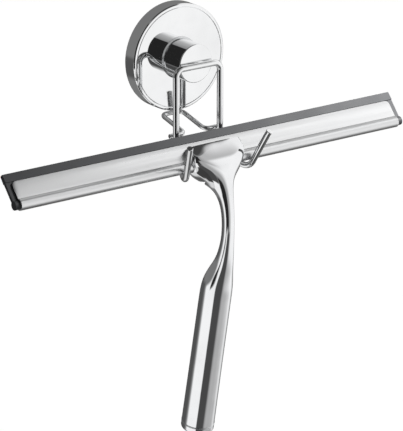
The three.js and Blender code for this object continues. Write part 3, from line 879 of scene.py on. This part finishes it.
def build_studio():
    """A plain pale floor, in metres, well below the hanging object. The metal doesn't mirror it."""
    floor = bpy.data.meshes.new("floor")
    half, level = 6.0, -0.42
    corners = [(-half, -half), (half, -half), (half, half), (-half, half)]
    floor.from_pydata([(x, y, level) for x, y in corners], [], [(0, 1, 2, 3)])
    floor_object = bpy.data.objects.new("floor", floor)
    bpy.context.scene.collection.objects.link(floor_object)
    pale = bpy.data.materials.new("pale floor")
    pale.use_nodes = True
    surface = pale.node_tree.nodes["Principled BSDF"]
    surface.inputs["Base Color"].default_value = (0.93, 0.93, 0.93, 1)
    surface.inputs["Roughness"].default_value = 0.9
    surface.inputs["Emission Color"].default_value = (1, 1, 1, 1)
    surface.inputs["Emission Strength"].default_value = 0.75
    floor.materials.append(pale)
    floor_object.visible_glossy = False


# Soft cards that stand round the object for its metal to mirror. Each has a direction (degrees from the front
# towards +X, degrees above the horizon), half its size and the softness beyond it (each across and up, in
# degrees), and a brightness. A later card hides an earlier one.
CARDS = [
    ((180, 5), (80, 50), (12, 8), 0.2),
    ((178, -19), (36, 9), (14, 6), 0.09),
    ((-90, -68), (70, 16), (20, 6), 0.75),
    ((-86, -30), (30, 16), (18, 6), 1.0),
    ((45, 36), (15, 14), (40, 2), 0.52),
    ((95, 36), (22, 15), (30, 4), 0.97),
    ((-58, 4), (32, 23), (6, 4), 0.02),
    ((-30, 34), (25, 12), (3, 4), 0.02),
    ((-24, -44), (26, 19), (6, 4), 0.07),
    ((-46, -54), (18, 5), (3, 3), 0.05),
    ((2, 0), (14, 22), (8, 4), 0.42),
    ((38, -40), (16, 10), (28, 5), 0.46),
    ((61, -8), (28, 20), (34, 12), 1.0),
    ((68, 8), (27, 22), (20, 8), 1.0),
]
# What is behind the cards: (degrees above the horizon, brightness).
SKY = [(-90, 0.12), (-50, 0.1), (-42, 0.2), (0, 0.25), (50, 0.28), (56, 0.06), (90, 0.05)]


def build_world():
    """A white world for the camera, and the cards for everything that mirrors or is lit by it."""
    world = bpy.data.worlds.new("studio")
    bpy.context.scene.world = world
    world.use_nodes = True
    nodes, links = world.node_tree.nodes, world.node_tree.links
    nodes.clear()

    def connect(value, socket):
        if isinstance(value, (int, float)):
            socket.default_value = value
        else:
            links.new(value, socket)

    def math_node(operation, *values):
        node = nodes.new("ShaderNodeMath")
        node.operation = operation
        for socket, value in zip(node.inputs, values):
            connect(value, socket)
        return node.outputs[0]

    def edge(distance, half, softness):
        """1 inside half, 0 outside half + softness."""
        node = nodes.new("ShaderNodeMapRange")
        node.interpolation_type = "SMOOTHSTEP"
        connect(distance, node.inputs["Value"])
        connect(half, node.inputs["From Min"])
        connect(half + softness, node.inputs["From Max"])
        connect(1, node.inputs["To Min"])
        connect(0, node.inputs["To Max"])
        return node.outputs["Result"]

    place = nodes.new("ShaderNodeTexCoord")
    split = nodes.new("ShaderNodeSeparateXYZ")
    links.new(place.outputs["Generated"], split.inputs[0])
    x, y, z = split.outputs
    compass = math_node("DEGREES", math_node("ARCTAN2", x, math_node("MULTIPLY", y, -1)))
    height = math_node("DEGREES", math_node("ARCSINE", z))

    ramp = nodes.new("ShaderNodeValToRGB")
    elements = ramp.color_ramp.elements
    while len(elements) < len(SKY):
        elements.new(0.5)
    for element, (place_up, value) in zip(elements, SKY):
        element.position = (place_up + 90) / 180
        element.color = (value, value, value, 1)
    upward = math_node("DIVIDE", math_node("ADD", height, 90), 180)
    links.new(upward, ramp.inputs[0])
    brightness = math_node("ADD", ramp.outputs[0], 0)
    for (card_compass, card_height), (half_width, half_height), (soft_across, soft_up), value in CARDS:
        turn = math_node("WRAP", math_node("SUBTRACT", compass, card_compass), 180, -180)
        off = math_node("ABSOLUTE", turn)
        up = math_node("ABSOLUTE", math_node("SUBTRACT", height, card_height))
        share = math_node("MULTIPLY", edge(off, half_width, soft_across), edge(up, half_height, soft_up))
        gain = math_node("MULTIPLY", share, math_node("SUBTRACT", value, brightness))
        brightness = math_node("ADD", brightness, gain)

    mirrored = nodes.new("ShaderNodeBackground")
    links.new(brightness, mirrored.inputs["Color"])
    plain = nodes.new("ShaderNodeBackground")
    plain.inputs["Color"].default_value = (1, 1, 1, 1)
    rays = nodes.new("ShaderNodeLightPath")
    choose = nodes.new("ShaderNodeMixShader")
    links.new(rays.outputs["Is Camera Ray"], choose.inputs["Fac"])
    links.new(mirrored.outputs[0], choose.inputs[1])
    links.new(plain.outputs[0], choose.inputs[2])
    output = nodes.new("ShaderNodeOutputWorld")
    links.new(choose.outputs[0], output.inputs["Surface"])


def add_light(name, place, target, size, power, receivers):
    """A soft rectangular light that reaches only the receivers, in metres and watts."""
    light = bpy.data.lights.new(name, "AREA")
    light.shape = "RECTANGLE"
    light.size, light.size_y = size
    light.energy = power
    obj = bpy.data.objects.new(name, light)
    obj.location = place
    obj.rotation_mode = "QUATERNION"
    obj.rotation_quaternion = (Vector(target) - Vector(place)).to_track_quat("-Z", "Y")
    bpy.context.scene.collection.objects.link(obj)
    group = bpy.data.collections.new(name + " receivers")
    for piece in receivers:
        group.objects.link(bpy.data.objects[piece])
    obj.light_linking.receiver_collection = group


def build_camera():
    """The main view: from the left and a little above, from far off with a long lens."""
    azimuth, elevation, distance = math.radians(-35.9), math.radians(18.8), 1.7
    target = Vector((0.0213, 0, -0.095))
    level = math.cos(elevation)
    back = Vector((math.sin(azimuth) * level, -math.cos(azimuth) * level, math.sin(elevation)))
    camera = bpy.data.cameras.new("camera")
    camera.sensor_width = 36
    camera.lens = 261.5
    camera.clip_start, camera.clip_end = 0.05, 50
    obj = bpy.data.objects.new("camera", camera)
    obj.location = target + back * distance
    obj.rotation_mode = "QUATERNION"
    obj.rotation_quaternion = (-back).to_track_quat("-Z", "Y")
    bpy.context.scene.collection.objects.link(obj)
    bpy.context.scene.camera = obj


build_camera()
build_world()
build_studio()
build_shell()
build_post()
build_washer()
build_cup()
build_hanger()
build_standoff()
build_channel()
build_rubber()
build_handle()
build_grip_end()
dress_carried_nodes()
add_light("strip light", (0.5, -0.34, 0.5), (0.1, -0.04, -0.04), (0.4, 0.4), 0.3, ["blade_channel"])
add_light("lip light", (0.3, -0.16, 0.14), (0.15, -0.04, -0.04), (0.12, 0.12), 6, ["rubber_wiper"])
bpy.context.scene.view_settings.view_transform = "Standard"
